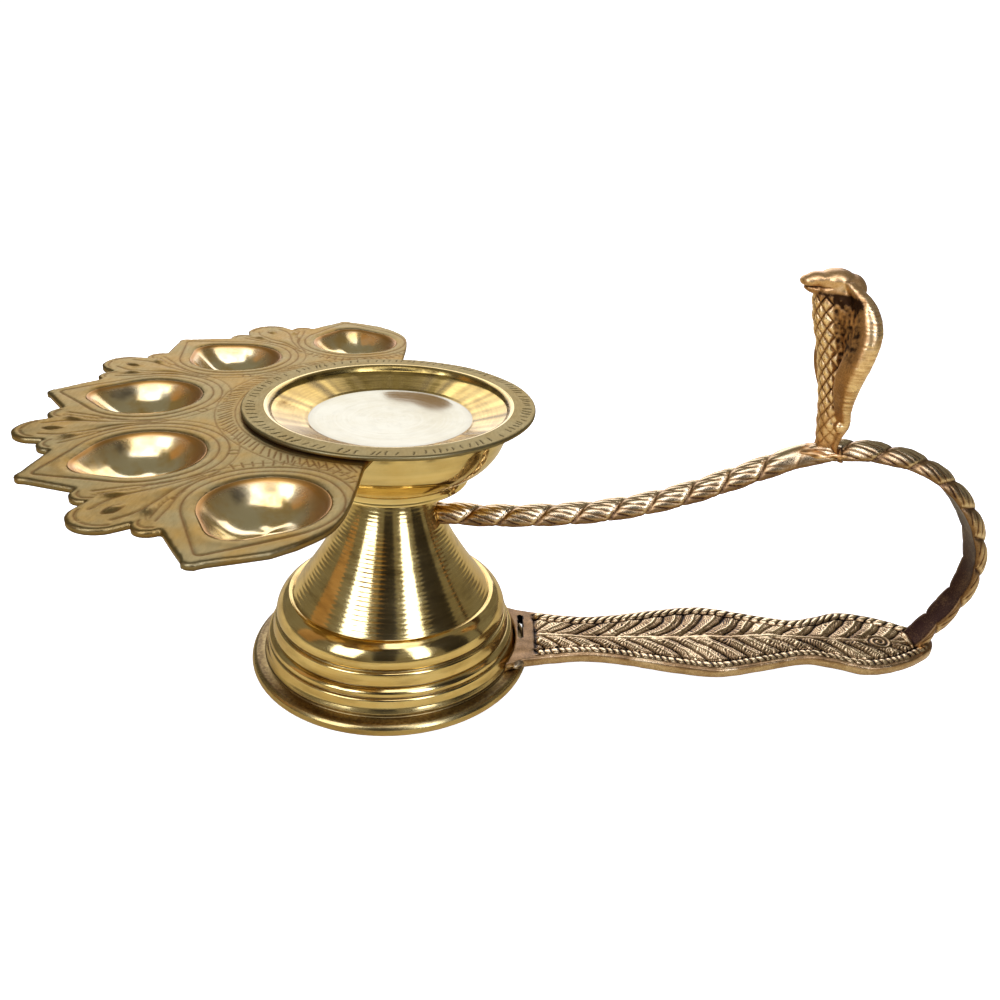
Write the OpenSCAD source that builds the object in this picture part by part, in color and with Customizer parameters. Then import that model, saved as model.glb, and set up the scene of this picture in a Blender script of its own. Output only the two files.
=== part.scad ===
// Five-flame hand aarti lamp in brass. A turned bowl stands on a hollow bell foot, a
// half-rosette plate with five oil cups sits under the bowl's rim, and a handle of a cast
// grip bar and a twisted rope bar, with a cobra standing on it, leaves the other side.
// The foot's axis is Z, the floor is Z = 0 and the handle runs along +X.

/* [Foot] */
// Radius of the rounded lip that stands on the floor
lip_r = 36.2; // [35:0.1:40]
// Height of the lip
lip_h = 3.4; // [2.6:0.1:3.9]
// Inside radius of the open mouth under the foot
mouth_r = 31; // [28:0.1:33]
// Radius of the reeded cone where it rises from the shoulder
cone_base_r = 25; // [24:0.1:25.4]
// Height at which the reeded cone starts
cone_base_z = 20; // [19.8:0.1:24]
// Radius of the neck, under the bowl
neck_r = 9.5; // [7:0.1:14]
// Height of the foot
foot_h = 51.2; // [48:0.1:52]
// Wall of the foot
foot_wall = 2; // [1.2:0.1:4]

/* [Bowl] */
// Outer radius of the bowl's flat rim
rim_r = 34; // [30:0.1:42]
// Inner radius of the flat rim
rim_in_r = 27.6; // [25:0.1:27.6]
// Height of the rim's top
rim_z = 70; // [69.5:0.1:75]
// Thickness of the rim
rim_t = 1.2; // [0.8:0.1:3]
// Outer radius of the bowl's wall under the rim
bowl_r = 28.2; // [28.1:0.1:29]
// Radius of the foot band that stands on the neck
band_r = 19; // [16:0.1:20]
// Radius of the mirror-flat bottom inside the bowl
well_r = 19.2; // [12:0.1:24]
// Height of the edge of that bottom
well_z = 66.2; // [63:0.1:67.6]

/* [Joint between bowl and foot] */
// Radius of the threaded stud
stud_r = 3; // [2:0.1:4]
// Running clearance round the stud, in the foot
stud_gap = 0.05; // [0.01:0.01:0.1]
// Width of the nut across its flats
nut_af = 10; // [7:0.1:13]
// Height of the nut
nut_h = 5; // [3:0.1:8]
// Thickness of the washer
washer_t = 1.4; // [0.8:0.1:3]

/* [Fan of cups] */
// Height of the plate's top
plate_z = 68.6; // [66:0.1:68.8]
// Thickness of the plate
plate_t = 1.2; // [0.8:0.1:2]
// Distance of the petals' tips from the foot's axis
tip_r = 80; // [77:0.1:84]
// Angle from petal to petal
petal_pitch = 36.5; // [36:0.1:38]
// Distance of the cups' centres from the foot's axis
cup_u = 56.4; // [54:0.1:58]
// Outer radius of a cup's round end
cup_r = 11.8; // [10:0.1:13]
// Outer radius of a cup's spout
spout_r = 6; // [4:0.1:8]
// Distance from a cup's centre to its spout's centre
spout_u = 8.2; // [7:0.1:12]
// Depth of a cup below the plate's underside
cup_depth = 6; // [4:0.1:10]
// Wall of a cup
cup_wall = 1; // [0.6:0.1:2]

/* [Handle] */
// Thickness of the grip bar
grip_t = 2.7; // [1.5:0.1:5]
// Height of the grip bar's top where it leaves the foot
grip_z = 6.2; // [5.9:0.1:9]
// Slope of the grip bar, rising away from the foot
grip_slope = 1.8; // [0:0.1:5]
// Width of the rope bar
rope_w = 7.6; // [4:0.1:10]
// Thickness of the rope bar
rope_t = 4.2; // [2:0.1:6]
// Length of one lay of the rope
lay = 9.2; // [6:0.1:14]

/* [Cobra] */
// Height of the top of the cobra's head
cobra_top = 105.6; // [104.5:0.1:107]
// Half width of the cobra's hood
hood_w = 13; // [8:0.1:18]

/* [Hidden] */
$fn = 96;

// ---- curves -------------------------------------------------------------------------

// Radius of the reeded cone at height z: a flare that is steep at the neck
function cone_r(z) =
    neck_r + (cone_base_r - neck_r) * pow((foot_h - z) / (foot_h - cone_base_z), 1.5);

// Point on a Catmull-Rom curve between p1 and p2, t from 0 to 1
function catmull(p0, p1, p2, p3, t) =
    0.5 * (2 * p1 + (p2 - p0) * t + (2 * p0 - 5 * p1 + 4 * p2 - p3) * t * t
           + (3 * p1 - p0 - 3 * p2 + p3) * t * t * t);

// Smooth open curve through the points, with n steps between neighbours
function smooth(pts, n) = [
    for (i = [0 : len(pts) - 2], k = [0 : n - 1])
        catmull(pts[max(i - 1, 0)], pts[i], pts[i + 1], pts[min(i + 2, len(pts) - 1)], k / n),
    pts[len(pts) - 1]];

// Arc of n steps round c with radius r, from angle a to angle b
function arc(c, r, a, b, n) = [for (i = [0 : n]) c + r * [cos(a + (b - a) * i / n),
                                                          sin(a + (b - a) * i / n)]];

function unit(v) = v / norm(v);

// Points of an outline turned to the angle a
function turned(pts, a) = [for (p = pts) [p.x * cos(a) - p.y * sin(a), p.x * sin(a) + p.y * cos(a)]];

// The same points mirrored in the X axis, in reverse order
function mirrored(pts) = [for (i = [len(pts) - 1 : -1 : 0]) [pts[i].x, -pts[i].y]];

// Middle of a list of points
function middle(pts, i = 0) = i == len(pts) - 1 ? pts[i] / len(pts)
                                                : pts[i] / len(pts) + middle(pts, i + 1);

// Closed tube through rings of points, every ring with the same number of points, with
// each end closed by triangles round its middle
module loft(rings) {
    n = len(rings[0]);
    m = len(rings);
    polyhedron(
        points = [for (ring = rings) each ring, middle(rings[0]), middle(rings[m - 1])],
        faces = [
            for (i = [0 : n - 1]) [i, (i + 1) % n, m * n],
            for (k = [0 : m - 2], i = [0 : n - 1])
                [k * n + i, (k + 1) * n + i, (k + 1) * n + (i + 1) % n, k * n + (i + 1) % n],
            for (i = [0 : n - 1]) [(m - 1) * n + (i + 1) % n, (m - 1) * n + i, m * n + 1]],
        convexity = 6);
}

// ---- foot ---------------------------------------------------------------------------

lip_tube = lip_h / 2;
// Height of the flat under the neck, where the washer sits
cone_top_in = 43.2;

foot_outside = concat(
    arc([lip_r - lip_tube, lip_tube], lip_tube, -90, 110, 8),
    [[32.6, lip_h + 0.1], [32.8, 4.2], [32.2, 5.6], [31.7, 7.6],     // lower cove
     [31.2, 7.8], [31.7, 8.1], [31.4, 9.3], [30.6, 10],              // rounded band
     [30.1, 10.2], [30.5, 10.5], [29.7, 13.6],                       // plain band
     [29.1, 13.8], [29.1, 14.1], [29.4, 14.4]],
    arc([22.9, 14.2], 6.4, 12, 62, 6),                               // rounded shoulder
    [[24.9, 19.7]],
    [for (i = [0 : 12]) let (z = cone_base_z + (foot_h - cone_base_z) * i / 12) [cone_r(z), z]]);

foot_inside = concat(
    [[stud_r + stud_gap, foot_h], [stud_r + stud_gap, cone_top_in]],
    [for (i = [0 : 8]) let (z = cone_top_in + (cone_base_z - 1 - cone_top_in) * i / 8)
        [cone_r(z) - foot_wall, z]],
    [[25.6, 16], [27, 13.5], [28.6, 9.5], [29.6, 6], [mouth_r, 4], [mouth_r, 0]]);

module bell_foot() {
    color("goldenrod") rotate_extrude() polygon(concat(foot_outside, foot_inside));
}

// ---- bowl ---------------------------------------------------------------------------

bowl_outside = concat(
    [[0, foot_h], [band_r, foot_h], [band_r - 0.3, foot_h + 1.2], [band_r, foot_h + 2.4]],
    arc([band_r, foot_h + 3.1], 0.6, -60, 60, 4),                    // bright bead
    [[21, 54.9], [23.9, 57], [26, 59.6], [27.3, 62.4], [28, 65], [bowl_r, 66.6],
     [bowl_r, rim_z - rim_t], [rim_r - 0.4, rim_z - rim_t], [rim_r, rim_z - rim_t + 0.4],
     [rim_r, rim_z - 0.4], [rim_r - 0.4, rim_z]]);

bowl_inside = [[rim_in_r + 0.8, rim_z - 0.4], [rim_in_r, rim_z - 1],
               [rim_in_r - 0.2, rim_z - 1.4], [well_r, well_z], [10, well_z - 0.5],
               [0, well_z - 0.7]];

module bowl() {
    color("gold") difference() {
        rotate_extrude() polygon(concat(bowl_outside, bowl_inside));
        translate([0, 0, foot_h - 1]) cylinder(r = stud_r, h = tap_depth + 1);
    }
}

// Lower end of the stud, just below the nut
stud_low = 35.5;
// Depth of the stud in the bowl
tap_depth = 9.6;

module threaded_stud() {
    color("darkgoldenrod") translate([0, 0, stud_low])
        cylinder(r = stud_r, h = foot_h + tap_depth - stud_low);
}

module ring(r_out, r_in, h) {
    difference() {
        cylinder(r = r_out, h = h);
        translate([0, 0, -1]) cylinder(r = r_in, h = h + 2);
    }
}

washer_r = 6;
washer_gap = 0.2;

module spring_washer() {
    color("silver") translate([0, 0, cone_top_in - washer_t])
        ring(washer_r, stud_r + washer_gap, washer_t);
}

module hex_nut() {
    color("darkgoldenrod") translate([0, 0, cone_top_in - washer_t - nut_h]) difference() {
        cylinder(r = nut_af / 2 / cos(30), h = nut_h, $fn = 6);
        translate([0, 0, -1]) cylinder(r = stud_r, h = nut_h + 2);
    }
}

// ---- fan of cups --------------------------------------------------------------------

// A petal's pointed end along +X, from one notch to the other
petal_half = [[72, -10.2], [75.6, -5.8], [tip_r - 1, -1.8]];
petal_end = concat(petal_half, [[tip_r, 0]], mirrored(petal_half));

// A leaf's scalloped end along +X: a broad lobe between two small ones
leaf_half = arc([71, -9.2], 3.3, -75, 50, 7);
leaf_end = concat(leaf_half, arc([73.8, 0], 6.2, -62, 62, 10), mirrored(leaf_half));

// The free side of the first petal, from the bowl to its notch
fan_side = [[34, -9], [48, -13.2], [56, -15], [62, -15], [68, -12.8]];

fan_outline = concat(
    turned(fan_side, 180 - 2 * petal_pitch),
    [for (k = [-2 : 2]) each concat(
        turned(petal_end, 180 + k * petal_pitch),
        k < 2 ? turned(leaf_end, 180 + (k + 0.5) * petal_pitch) : [])],
    turned(mirrored(fan_side), 180 + 2 * petal_pitch));

// Outline of a round cup with a spout towards +X, grown by d
function teardrop(d) =
    let (big = cup_r + d, small = spout_r + d, a = acos((big - small) / spout_u))
    concat(arc([0, 0], big, a, 360 - a, 22), arc([spout_u, 0], small, -a, a, 12));

module fan_plate() {
    color("darkkhaki") translate([0, 0, plate_z - plate_t]) linear_extrude(plate_t) difference() {
        polygon(fan_outline);
        circle(r = bowl_r);
        for (k = [-2 : 2]) rotate(180 + k * petal_pitch) translate([cup_u, 0])
            polygon(teardrop(0));
    }
}

// Size of a dish's first ring, as a part of its rim's size
dish_start = 0.12;
// Rings in a dish above its first
dish_rings = 7;
// How flat a dish's bottom is and how steep its wall
dish_power = 3.2;

// Rings of a dish with the outline pts, from near its middle out to its rim
function dish(pts, depth) = [
    for (i = [0 : dish_rings]) let (t = dish_start + (1 - dish_start) * i / dish_rings)
        [for (p = pts) [p.x * t, p.y * t, -depth * (1 - pow(t, dish_power))]]];

function level(pts, z) = [for (p = pts) [p.x, p.y, z]];

function reversed(list) = [for (i = [len(list) - 1 : -1 : 0]) list[i]];

module oil_cup(k) {
    outside = teardrop(0);
    inside = teardrop(-cup_wall);
    color("palegoldenrod") rotate(180 + k * petal_pitch)
        translate([cup_u, 0, plate_z - plate_t])
            loft(concat(dish(outside, cup_depth), [level(outside, plate_t)],
                        [level(inside, plate_t)],
                        reversed(dish(inside, cup_depth - cup_wall))));
}

module oil_cup_1() oil_cup(-2);
module oil_cup_2() oil_cup(-1);
module oil_cup_3() oil_cup(0);
module oil_cup_4() oil_cup(1);
module oil_cup_5() oil_cup(2);

// Seam of filler metal under the plate's inner edge
module fan_braze() {
    color("peru") rotate(100) rotate_extrude(angle = 160)
        polygon([[bowl_r, plate_z - plate_t], [bowl_r, plate_z - plate_t - 0.2],
                 [bowl_r + 1.6, plate_z - plate_t]] + [[0, 0], [0, -1.2], [0, 0]]);
}

// ---- handle -------------------------------------------------------------------------

// Half widths of the grip bar: wide at its root, two waists, two bellies, a round end
grip_half = smooth([[29, 15.4], [33, 13.2], [38, 10.8], [50, 8.9], [60, 9.9], [72, 12.8],
                    [84, 14.6], [96, 11.8], [108, 8.7], [115, 10.2], [123, 12.8], [132, 10.6],
                    [139, 6.6], [142.6, 3.4], [143.8, 0.6]], 4);

// Distance of the bar's hinge line of slope from the foot's axis
root_x = 33;
// Radius of the foot's wall where the root is brazed to it
root_r = 32.9;
// Narrow slot through the plain root, and its centre
slot = [1.3, 11];
slot_at = [34.2, 3.6];

module grip_bar() {
    color("sienna") difference() {
        translate([root_x, 0, grip_z - grip_t]) rotate([0, -grip_slope, 0])
            translate([-root_x, 0, 0]) linear_extrude(grip_t)
                polygon(concat(grip_half, mirrored(grip_half)));
        cylinder(r = root_r, h = 20);
        translate([slot_at.x - slot.x / 2, slot_at.y - slot.y / 2, 0]) cube([slot.x, slot.y, 12]);
    }
}

// Height of the grip bar's top at distance x
function grip_top(x) =
    grip_z - grip_t + grip_t / cos(grip_slope) + (x - root_x) * tan(grip_slope);

// Middle of the rope bar's flat inner face, in the plane of the handle
rope_path = smooth([[12.4, 40.1], [24, 39.8], [40, 40.8], [56, 43.2], [72, 47.9], [88, 54.8],
                    [98, 59.2], [108, 61.4], [118, 60.9], [128, 58.2], [137.2, 52], [143.8, 43.6],
                    [147, 34.5], [146.4, 26], [142.8, 18], [137.8, 9.6]], 5);
rope_steps = len(rope_path) - 1;

function rope_dir(i) = unit(rope_path[min(i + 1, rope_steps)] - rope_path[max(i - 1, 0)]);

// Length of the path up to its point i
function rope_len(i) = i == 0 ? 0 : rope_len(i - 1) + norm(rope_path[i] - rope_path[i - 1]);

// Half-round section at point i: its flat side lies on the path, its crown swells once a lay
function rope_ring(i) =
    let (d = rope_dir(i), out = [-d.y, d.x], p = rope_path[i],
         swell = 1 - 0.24 * (1 + cos(360 * rope_len(i) / lay)) / 2)
    [for (k = [0 : 8])
        let (a = 180 * k / 8, y = rope_w / 2 * swell * cos(a), h = rope_t * swell * sin(a))
        [p.x + out.x * h, y, p.y + out.y * h]];

// First ring: cut to the slope of the foot's cone
rope_start = [for (q = rope_ring(0)) [sqrt(pow(cone_r(q.z), 2) - q.y * q.y) + 0.02, q.y, q.z]];
// Last ring: cut level with the grip bar
rope_end = [for (q = rope_ring(rope_steps)) [q.x, q.y, grip_top(q.x) + 0.02]];

module rope_bar() {
    color("peru") loft(concat([rope_start], [for (i = [1 : rope_steps - 1]) rope_ring(i)],
                              [rope_end]));
}

// ---- cobra --------------------------------------------------------------------------

// Sections of the hood from its foot up: height, front of the belly, half width, back
hood = smooth([[64.2, 101.4, 3.4, 106], [67, 101.2, 3.8, 106.2], [70.5, 100.8, 5.2, 106.6],
               [75, 100.2, 7.4, 105.8], [80, 99.2, 10.2, 105.4], [85, 98, 12.4, 105.8],
               [89, 96.8, hood_w, 106.4], [93, 95.4, 12.8, 106.8], [97, 94.4, 11.4, 106.2],
               [100.5, 93.6, 8.8, 104.2], [103.4, 93.6, 5, 100.6]], 3);

// Outline of one section, seen from above: round belly in front, rolled edges swept back
function hood_ring(s) =
    let (z = s[0], x = s[1], w = s[2], b = s[3], e = min(w * 0.2, 2.4),
         side = [[x, 1.4], [x + 1.2, min(3.2, w * 0.6)], [x + 3.2, min(3.9, w * 0.75)],
                 [b - e * 2.4, w - e * 1.9], [b - e * 2, w - e],
                 [b - e * 1.2, w], [b - e * 0.2, w - e * 0.5], [b, w - e * 1.5],
                 [b - w * 0.12, w * 0.45], [b - w * 0.06, 0.8]])
    [for (q = concat(mirrored(side), side)) [q.x, -q.y, z]];

module cobra() {
    color("saddlebrown") {
        loft([for (s = hood) hood_ring(s)]);
        hull() {
            translate([92.2, 0, 102.4]) scale([1, 1.2, 0.85]) sphere(r = 2, $fn = 24);
            translate([97.4, 0, 102.8]) scale([1, 1.5, 1]) sphere(r = cobra_top - 102.8, $fn = 24);
            translate([101.8, 0, 100.8]) sphere(r = 2.2, $fn = 24);
        }
    }
}

// ---- brazed joints ------------------------------------------------------------------

module bead(a, b, r) {
    hull() {
        translate(a) sphere(r = r, $fn = 10);
        translate(b) sphere(r = r, $fn = 10);
    }
}

module neck_braze() {
    color("peru") bead([12, -2.6, 39.9], [12, 2.6, 39.9], 0.8);
}

module foot_braze() {
    color("burlywood") {
        bead([32.4, -12.6, 4.6], [34.4, -9.8, 5.4], 1.5);
        bead([32.6, -9, 3.6], [32.6, 9, 3.6], 0.5);
    }
}

module loop_braze() {
    color("peru") bead([137.2, -3, grip_top(137) + 0.1], [137.2, 3, grip_top(137) + 0.1], 0.8);
}

module cobra_braze() {
    color("burlywood") {
        bead([104.2, -3.4, 63.4], [108, -3.2, 62.6], 0.7);
        bead([107.6, -2.8, 63.8], [105.8, -3.6, 61.6], 0.6);
    }
}

bell_foot();
bowl();
threaded_stud();
spring_washer();
hex_nut();
fan_plate();
oil_cup_1();
oil_cup_2();
oil_cup_3();
oil_cup_4();
oil_cup_5();
fan_braze();
grip_bar();
rope_bar();
cobra();
neck_braze();
foot_braze();
loop_braze();
cobra_braze();
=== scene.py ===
"""Brass five-cup hand aarti lamp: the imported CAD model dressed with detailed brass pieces."""
import math

import bmesh
import bpy
import numpy as np
from mathutils import Matrix, Vector, noise
from mathutils.geometry import delaunay_2d_cdt
from mathutils.kdtree import KDTree


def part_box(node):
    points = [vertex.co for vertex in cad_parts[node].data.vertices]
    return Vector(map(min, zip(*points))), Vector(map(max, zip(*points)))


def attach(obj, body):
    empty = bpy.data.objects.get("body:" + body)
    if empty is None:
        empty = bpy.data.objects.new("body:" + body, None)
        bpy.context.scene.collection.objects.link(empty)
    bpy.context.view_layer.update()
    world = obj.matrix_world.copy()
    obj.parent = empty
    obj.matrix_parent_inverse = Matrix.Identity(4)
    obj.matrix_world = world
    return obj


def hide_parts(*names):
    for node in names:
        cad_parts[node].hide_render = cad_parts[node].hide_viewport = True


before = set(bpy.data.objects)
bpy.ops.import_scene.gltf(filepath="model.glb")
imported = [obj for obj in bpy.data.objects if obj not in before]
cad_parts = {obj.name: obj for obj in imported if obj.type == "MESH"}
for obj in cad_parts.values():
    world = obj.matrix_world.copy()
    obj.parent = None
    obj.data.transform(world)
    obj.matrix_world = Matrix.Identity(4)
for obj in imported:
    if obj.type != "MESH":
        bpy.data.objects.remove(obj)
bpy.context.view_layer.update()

MM = 0.001


def top_of(node):
    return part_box(node)[1].z / MM


# Levels and sizes in millimetres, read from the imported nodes
FOOT_H = top_of("bell_foot")
LIP_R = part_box("bell_foot")[1].x / MM
PLATE_Z = top_of("fan_plate")
PLATE_T = PLATE_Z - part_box("fan_plate")[0].z / MM
COBRA_TOP = top_of("cobra")

# ---- helpers ------------------------------------------------------------------------


def smoothstep(a, b, x):
    t = np.clip((np.asarray(x, float) - a) / (b - a), 0, 1)
    return t * t * (3 - 2 * t)


def bell(x, centre, width):
    return np.exp(-(((np.asarray(x, float) - centre) / width) ** 2))


def spline(points, steps):
    """Catmull-Rom curve through the points, ends held."""
    p = np.array(points, float)
    e = np.vstack([p[:1], p, p[-1:]])
    out = []
    for i in range(len(p) - 1):
        a, b, c, d = e[i], e[i + 1], e[i + 2], e[i + 3]
        for k in range(steps):
            t = k / steps
            out.append(0.5 * (2 * b + (c - a) * t + (2 * a - 5 * b + 4 * c - d) * t * t
                              + (3 * b - a - 3 * c + d) * t ** 3))
    out.append(p[-1])
    return np.array(out)


def resample(curve, step):
    """The same polyline with even spacing of about step, and the arc length of each point."""
    seg = np.linalg.norm(np.diff(curve, axis=0), axis=1)
    s = np.concatenate([[0], np.cumsum(seg)])
    even = np.linspace(0, s[-1], max(2, int(round(s[-1] / step)) + 1))
    return np.stack([np.interp(even, s, curve[:, k]) for k in range(curve.shape[1])], 1), even


def fillet(points, radius, steps=4):
    """Polyline with each corner rounded by a short curve."""
    p = [np.array(q, float) for q in points]
    out = [p[0]]
    for a, b, c in zip(p, p[1:], p[2:]):
        la, lc = np.linalg.norm(a - b), np.linalg.norm(c - b)
        r = min(radius, 0.45 * la, 0.45 * lc)
        s, e = b + (a - b) / la * r, b + (c - b) / lc * r
        for k in range(steps + 1):
            t = k / steps
            out.append((1 - t) ** 2 * s + 2 * t * (1 - t) * b + t * t * e)
    out.append(p[-1])
    return out


def arc(cx, cy, r, a, b, n):
    t = np.radians(np.linspace(a, b, n + 1))
    return np.stack([cx + r * np.cos(t), cy + r * np.sin(t)], 1)


def turned(points, degrees):
    c, s = math.cos(math.radians(degrees)), math.sin(math.radians(degrees))
    return np.array(points, float) @ np.array([[c, s], [-s, c]])


def mirrored(points):
    q = np.array(points, float)[::-1].copy()
    q[:, 1] *= -1
    return q


def wobble(points, scale, seed=0.0):
    """Smooth noise from about -1 to 1 at points in millimetres."""
    off = Vector((seed * 17.3, seed * 5.1, seed * 9.7))
    return np.array([noise.noise(Vector(p) * scale + off) for p in points])


def link(name, data):
    """A scene object that holds the mesh, light or camera."""
    made = bpy.data.objects.new(name, data)
    bpy.context.scene.collection.objects.link(made)
    return made


def mesh_of(bm, name, material=None):
    """A mesh from the bmesh, which is freed."""
    mesh = bpy.data.meshes.new(name)
    bm.to_mesh(mesh)
    bm.free()
    if material:
        mesh.materials.append(material)
    return mesh


def new_piece(name, verts, faces, material, body, nodes, attrs, weld=0.0):
    """A mesh object from vertices in millimetres, riding on a body in place of the CAD nodes."""
    mesh = bpy.data.meshes.new(name)
    mesh.from_pydata((np.asarray(verts, float) * MM).tolist(), [], faces)
    for key, values in attrs.items():
        layer = mesh.attributes.new(key, "FLOAT", "POINT")
        layer.data.foreach_set("value", np.asarray(values, np.float32))
    bm = bmesh.new()
    bm.from_mesh(mesh)
    if weld:
        bmesh.ops.remove_doubles(bm, verts=bm.verts, dist=weld * MM)
    bmesh.ops.recalc_face_normals(bm, faces=bm.faces)
    bm.to_mesh(mesh)
    bm.free()
    mesh.polygons.foreach_set("use_smooth", [True] * len(mesh.polygons))
    mesh.materials.append(material)
    piece = link(name, mesh)
    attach(piece, body)
    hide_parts(*nodes)
    return piece


def grid_faces(rows, cols, loop_rows=False):
    """Quads of a rows x cols grid of vertices, closed round each row."""
    i = np.arange(rows if loop_rows else rows - 1)
    j = np.arange(cols)
    ii, jj = np.meshgrid(i, j, indexing="ij")
    i2, j2 = (ii + 1) % rows, (jj + 1) % cols
    quads = [ii * cols + jj, ii * cols + j2, i2 * cols + j2, i2 * cols + jj]
    return np.stack(quads, -1).reshape(-1, 4)


def bar_faces(rows, cols):
    """Faces of a closed bar: its sides and both end caps."""
    faces = grid_faces(rows, cols).tolist()
    faces.append(list(range(cols)))
    faces.append([(rows - 1) * cols + i for i in range(cols - 1, -1, -1)])
    return faces


def bake(piece):
    """Applies the piece's modifiers."""
    bpy.context.view_layer.update()
    graph = bpy.context.evaluated_depsgraph_get()
    done = bpy.data.meshes.new_from_object(piece.evaluated_get(graph))
    piece.modifiers.clear()
    piece.data = done


# ---- materials ----------------------------------------------------------------------


class Nodes:
    """Short ways to add nodes to one material."""

    def __init__(self, name):
        self.mat = bpy.data.materials.new(name)
        self.mat.use_nodes = True
        self.tree = self.mat.node_tree
        self.bsdf = self.tree.nodes["Principled BSDF"]
        self.coords = self.add("ShaderNodeTexCoord").outputs["Object"]

    def add(self, kind, **props):
        node = self.tree.nodes.new(kind)
        for key, value in props.items():
            setattr(node, key, value)
        return node

    def put(self, socket, value):
        if isinstance(value, bpy.types.NodeSocket):
            self.tree.links.new(value, socket)
        else:
            socket.default_value = value

    def math(self, operation, a, b=0.0, clamp=False):
        node = self.add("ShaderNodeMath", operation=operation, use_clamp=clamp)
        self.put(node.inputs[0], a)
        self.put(node.inputs[1], b)
        return node.outputs[0]

    def scaled(self, x, y, z):
        """Object coordinates in millimetres times a factor per axis."""
        node = self.add("ShaderNodeVectorMath", operation="MULTIPLY")
        self.put(node.inputs[0], self.coords)
        node.inputs[1].default_value = (x / MM, y / MM, z / MM)
        return node.outputs[0]

    def rings(self, per_mm, stretch=0.02):
        """Coordinates that run across the turning lines: radius and height."""
        sep = self.add("ShaderNodeSeparateXYZ")
        self.put(sep.inputs[0], self.scaled(1, 1, 1))
        x, y, z = sep.outputs
        radius = self.math("SQRT", self.math("ADD", self.math("MULTIPLY", x, x),
                                             self.math("MULTIPLY", y, y)))
        turn = self.math("MULTIPLY", self.math("ARCTAN2", y, x), stretch * 20)
        comb = self.add("ShaderNodeCombineXYZ")
        self.put(comb.inputs[0], self.math("MULTIPLY", radius, per_mm))
        self.put(comb.inputs[1], turn)
        self.put(comb.inputs[2], self.math("MULTIPLY", z, per_mm))
        return comb.outputs[0]

    def noise(self, vector, detail=4.0, rough=0.55):
        node = self.add("ShaderNodeTexNoise")
        self.put(node.inputs["Vector"], vector)
        node.inputs["Scale"].default_value = 1.0
        node.inputs["Detail"].default_value = detail
        node.inputs["Roughness"].default_value = rough
        return node.outputs[0]

    def ramp(self, fac, *stops):
        node = self.add("ShaderNodeValToRGB")
        self.put(node.inputs[0], fac)
        marks = node.color_ramp.elements
        while len(marks) < len(stops):
            marks.new(0.5)
        for mark, (at, colour) in zip(marks, stops):
            mark.position = at
            mark.color = (*colour, 1)
        return node.outputs[0]

    def mix(self, fac, a, b):
        node = self.add("ShaderNodeMix", data_type="RGBA")
        self.put(node.inputs[0], fac)
        for socket, value in ((node.inputs[6], a), (node.inputs[7], b)):
            if isinstance(value, tuple):
                value = (*value, 1)
            self.put(socket, value)
        return node.outputs[2]

    def attribute(self, name):
        return self.add("ShaderNodeAttribute", attribute_name=name).outputs["Fac"]

    def span(self, value, low, high, to_low, to_high):
        node = self.add("ShaderNodeMapRange")
        for socket, v in zip(node.inputs, (value, low, high, to_low, to_high)):
            self.put(socket, v)
        return node.outputs[0]

    def bump(self, height, distance_mm, below=None):
        node = self.add("ShaderNodeBump")
        node.inputs["Strength"].default_value = 1.0
        node.inputs["Distance"].default_value = distance_mm * MM
        self.put(node.inputs["Height"], height)
        if below is not None:
            self.put(node.inputs["Normal"], below)
        return node.outputs[0]

    def dirt_and_painted_light_amount(self, breakup, low, least):
        """The dirt and painted light attribute, thinned where the break-up noise is low."""
        return self.math("MULTIPLY", self.attribute("dirt_and_painted_light"), self.span(breakup, low, 0.6, least, 1.0),
                         clamp=True)

    def finish(self, colour, rough, normal=None, metal=1.0):
        self.put(self.bsdf.inputs["Base Color"], colour)
        self.put(self.bsdf.inputs["Roughness"], rough)
        self.bsdf.inputs["Metallic"].default_value = metal
        if normal is not None:
            self.put(self.bsdf.inputs["Normal"], normal)
        return self.mat


def turned_brass(name, light, deep, dirt_and_painted_light, rough, groove_mm, per_mm, tarnish):
    """Lathe-turned brass: fine lines round the axis, tarnish patches and dirt in the grooves."""
    n = Nodes(name)
    lines = n.noise(n.rings(per_mm), detail=3.0)
    patches = n.noise(n.scaled(0.07, 0.07, 0.07), detail=5.0)
    specks = n.noise(n.scaled(1.4, 1.4, 1.4), detail=3.0)
    tone = n.math("ADD", n.math("MULTIPLY", patches, 0.7), n.math("MULTIPLY", lines, 0.3))
    colour = n.ramp(tone, (0.36, deep), (0.58, light))
    smears = n.noise(n.rings(0.35, 0.12), detail=4.0)
    stained = n.math("MULTIPLY", n.span(smears, 0.48, 0.66, 0.0, 1.0), tarnish, clamp=True)
    colour = n.mix(stained, colour, (deep[0] * 0.45, deep[1] * 0.40, deep[2] * 0.35))
    dirt_and_painted_light_mask = n.dirt_and_painted_light_amount(specks, 0.3, 0.75)
    colour = n.mix(dirt_and_painted_light_mask, colour, dirt_and_painted_light)
    roughness = n.math("ADD", n.span(lines, 0.3, 0.7, rough * 0.75, rough * 1.35),
                       n.math("MULTIPLY", dirt_and_painted_light_mask, 0.25))
    return n.finish(colour, roughness, n.bump(lines, groove_mm))


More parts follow.
